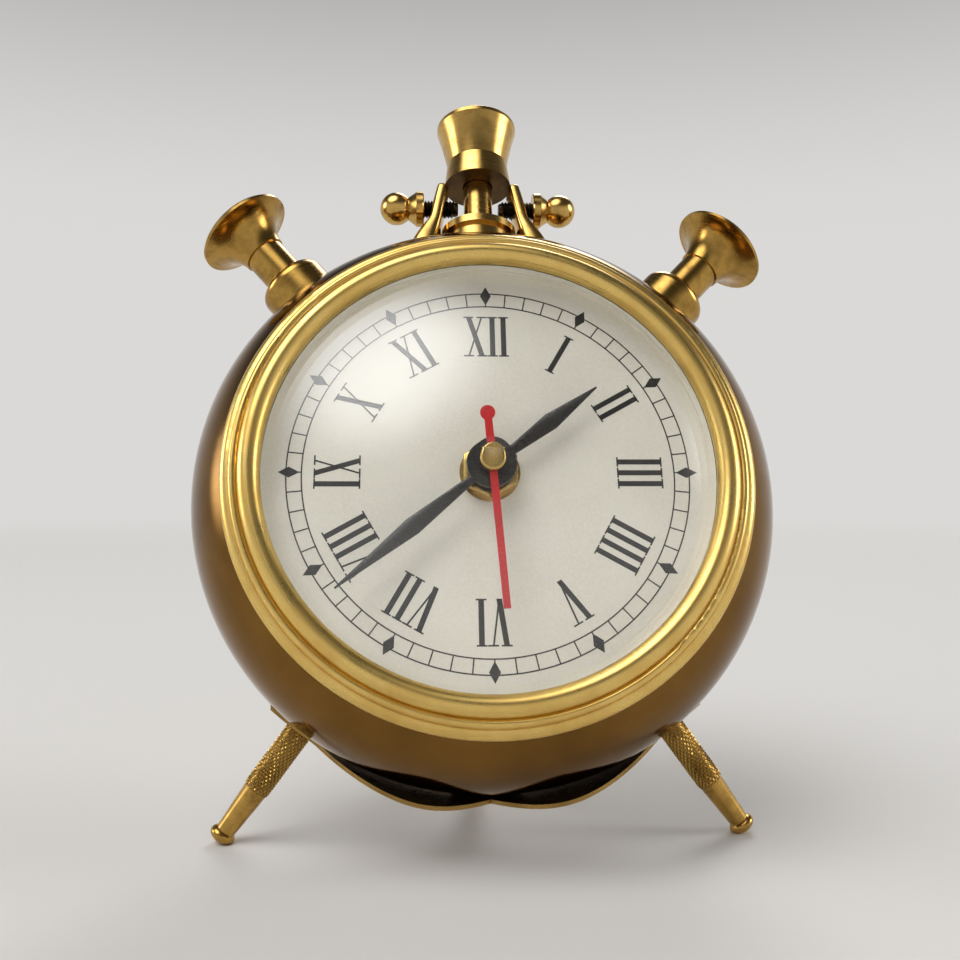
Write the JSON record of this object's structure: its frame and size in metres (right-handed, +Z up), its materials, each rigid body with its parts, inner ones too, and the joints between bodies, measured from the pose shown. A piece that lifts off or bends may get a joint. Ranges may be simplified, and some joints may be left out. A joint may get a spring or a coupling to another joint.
{
  "type": "table clock",
  "caption": "Round brass table clock that leans back on three legs, with a domed glass, Roman dial, crown between ears with thumb screws, and trumpet push knobs.",
  "frame": {"origin": "on the table top, under the middle of the clock's box", "axes": "+Z up, +X to the right seen from the front, the dial faces -Y and leans back"},
  "size_m": [0.1236, 0.076, 0.1575],
  "materials": {
    "polished_brass": "polished",
    "satin_brass": "satin lacquered",
    "turned_brass": "turned, slightly tarnished",
    "plate_brass": "rolled sheet",
    "clear_glass": "clear polished",
    "rubber_seal": "matte",
    "dial_paint": "eggshell white with black printing",
    "white_ring": "matte white",
    "black_hand": "satin black",
    "red_hand": "gloss red",
    "black_plastic": "moulded",
    "white_plastic": "moulded",
    "steel": "plain",
    "magnet": "sintered",
    "copper_wire": "enamelled wire",
    "board": "laminate",
    "battery_sleeve": "plain printed sleeve"
  },
  "bodies": {
    "root": {"case_shell": "polished_brass", "bezel": "satin_brass", "glass": "clear_glass", "glass_seal": "rubber_seal", "dial": "dial_paint", "dial_ring": "white_ring", "dial_gasket": "rubber_seal", "rear_cover": "plate_brass", "rear_cover_screws": "steel", "movement_front": "black_plastic", "movement_back": "black_plastic", "train_bridge": "white_plastic", "dial_nut": "turned_brass", "dial_washer": "turned_brass", "motion_post": "steel", "stator": "steel", "coil_winding": "copper_wire", "coil_core": "steel", "circuit_board": "board", "battery": "battery_sleeve", "battery_contact_plus": "steel", "battery_contact_minus": "steel", "crown_stem": "turned_brass", "crown_washer": "turned_brass", "crown_screw": "turned_brass", "left_ear": "turned_brass", "right_ear": "turned_brass", "left_collar": "turned_brass", "right_collar": "turned_brass", "left_pusher_spring": "steel", "right_pusher_spring": "steel", "saddle_plate": "plate_brass", "left_leg": "turned_brass", "right_leg": "turned_brass", "rear_leg": "turned_brass"},
    "seconds": {"seconds_arbor": "steel", "seconds_wheel": "white_plastic", "second_hand": "red_hand", "seconds_cap": "turned_brass"},
    "minutes": {"minute_wheel": "white_plastic", "minute_hand": "black_hand"},
    "hours": {"hour_wheel": "white_plastic", "hour_hand": "black_hand"},
    "third": {"third_wheel": "white_plastic"},
    "intermediate": {"intermediate_wheel": "white_plastic"},
    "rotor": {"rotor_pinion": "steel", "rotor_magnet": "magnet"},
    "motion": {"motion_wheel": "white_plastic"},
    "setting": {"setting_stem": "steel", "setting_knob": "black_plastic"},
    "crown": {"crown": "turned_brass"},
    "left_push": {"left_pusher": "turned_brass", "left_pusher_clip": "steel"},
    "right_push": {"right_pusher": "turned_brass", "right_pusher_clip": "steel"},
    "left_thumb_slider": {"left_thumb_stud": "steel"},
    "left_thumb": {"left_thumb_knob": "turned_brass"},
    "right_thumb_slider": {"right_thumb_stud": "steel"},
    "right_thumb": {"right_thumb_knob": "turned_brass"}
  },
  "joints": [
    {"name": "second_spin", "type": "hinge", "parent": "root", "child": "seconds", "pos_m": [-0.00122, -0.015, 0.07346], "axis": [0, 0.9397, -0.342], "continuous": true},
    {"name": "minute_spin", "type": "hinge", "parent": "root", "child": "minutes", "pos_m": [-0.00122, -0.015, 0.07346], "axis": [0, 0.9397, -0.342], "continuous": true},
    {"name": "hour_spin", "type": "hinge", "parent": "root", "child": "hours", "pos_m": [-0.00122, -0.015, 0.07346], "axis": [0, 0.9397, -0.342], "continuous": true},
    {"name": "third_spin", "type": "hinge", "parent": "root", "child": "third", "pos_m": [-0.01182, -0.01291, 0.07921], "axis": [0, 0.9397, -0.342], "continuous": true},
    {"name": "intermediate_spin", "type": "hinge", "parent": "root", "child": "intermediate", "pos_m": [0.0075, -0.01328, 0.07819], "axis": [0, 0.9397, -0.342], "continuous": true},
    {"name": "rotor_spin", "type": "hinge", "parent": "root", "child": "rotor", "pos_m": [0.01182, -0.01072, 0.08523], "axis": [0, 0.9397, -0.342], "continuous": true},
    {"name": "motion_spin", "type": "hinge", "parent": "root", "child": "motion", "pos_m": [0.00709, -0.01664, 0.06895], "axis": [0, 0.9397, -0.342], "continuous": true},
    {"name": "setting_spin", "type": "hinge", "parent": "root", "child": "setting", "pos_m": [0.01611, -0.01552, 0.07203], "axis": [0, 0.9397, -0.342], "continuous": true},
    {"name": "crown_turn", "type": "hinge", "parent": "root", "child": "crown", "pos_m": [-0.00122, 0.02483, 0.14197], "axis": [0, 0.342, 0.9397], "continuous": true},
    {"name": "left_push", "type": "slide", "parent": "root", "child": "left_push", "axis": [0.6441, -0.2616, -0.7188], "range_m": [0, 0.0025], "stiffness_N_per_m": 300, "springref_m": -0.002, "deforming": ["left_pusher_spring"]},
    {"name": "left_thumb_travel", "type": "slide", "parent": "root", "child": "left_thumb_slider", "axis": [-1, 0, 0], "range_m": [-0.0007, 0.0021]},
    {"name": "left_thumb_turn", "type": "hinge", "parent": "left_thumb_slider", "child": "left_thumb", "pos_m": [-0.00122, 0.02177, 0.13356], "axis": [-1, 0, 0], "range_deg": [-360.5, 1080.5]},
    {"name": "right_push", "type": "slide", "parent": "root", "child": "right_push", "axis": [-0.6782, -0.2514, -0.6906], "range_m": [0, 0.0025], "stiffness_N_per_m": 300, "springref_m": -0.002, "deforming": ["right_pusher_spring"]},
    {"name": "right_thumb_travel", "type": "slide", "parent": "root", "child": "right_thumb_slider", "axis": [1, 0, 0], "range_m": [-0.0007, 0.0021]},
    {"name": "right_thumb_turn", "type": "hinge", "parent": "right_thumb_slider", "child": "right_thumb", "pos_m": [-0.00122, 0.02177, 0.13356], "axis": [1, 0, 0], "range_deg": [-360.5, 1080.5]}
  ],
  "couplings": [
    {"joint": "minute_spin", "follows": "second_spin", "ratio": 0.016667},
    {"joint": "hour_spin", "follows": "second_spin", "ratio": 0.0013889},
    {"joint": "third_spin", "follows": "second_spin", "ratio": -0.13333},
    {"joint": "intermediate_spin", "follows": "second_spin", "ratio": -6},
    {"joint": "rotor_spin", "follows": "second_spin", "ratio": 30},
    {"joint": "motion_spin", "follows": "second_spin", "ratio": -0.0055556},
    {"joint": "setting_spin", "follows": "second_spin", "ratio": 0.016667},
    {"joint": "left_thumb_turn", "follows": "left_thumb_travel", "rad_per_m": 8976},
    {"joint": "right_thumb_turn", "follows": "right_thumb_travel", "rad_per_m": 8976}
  ]
}
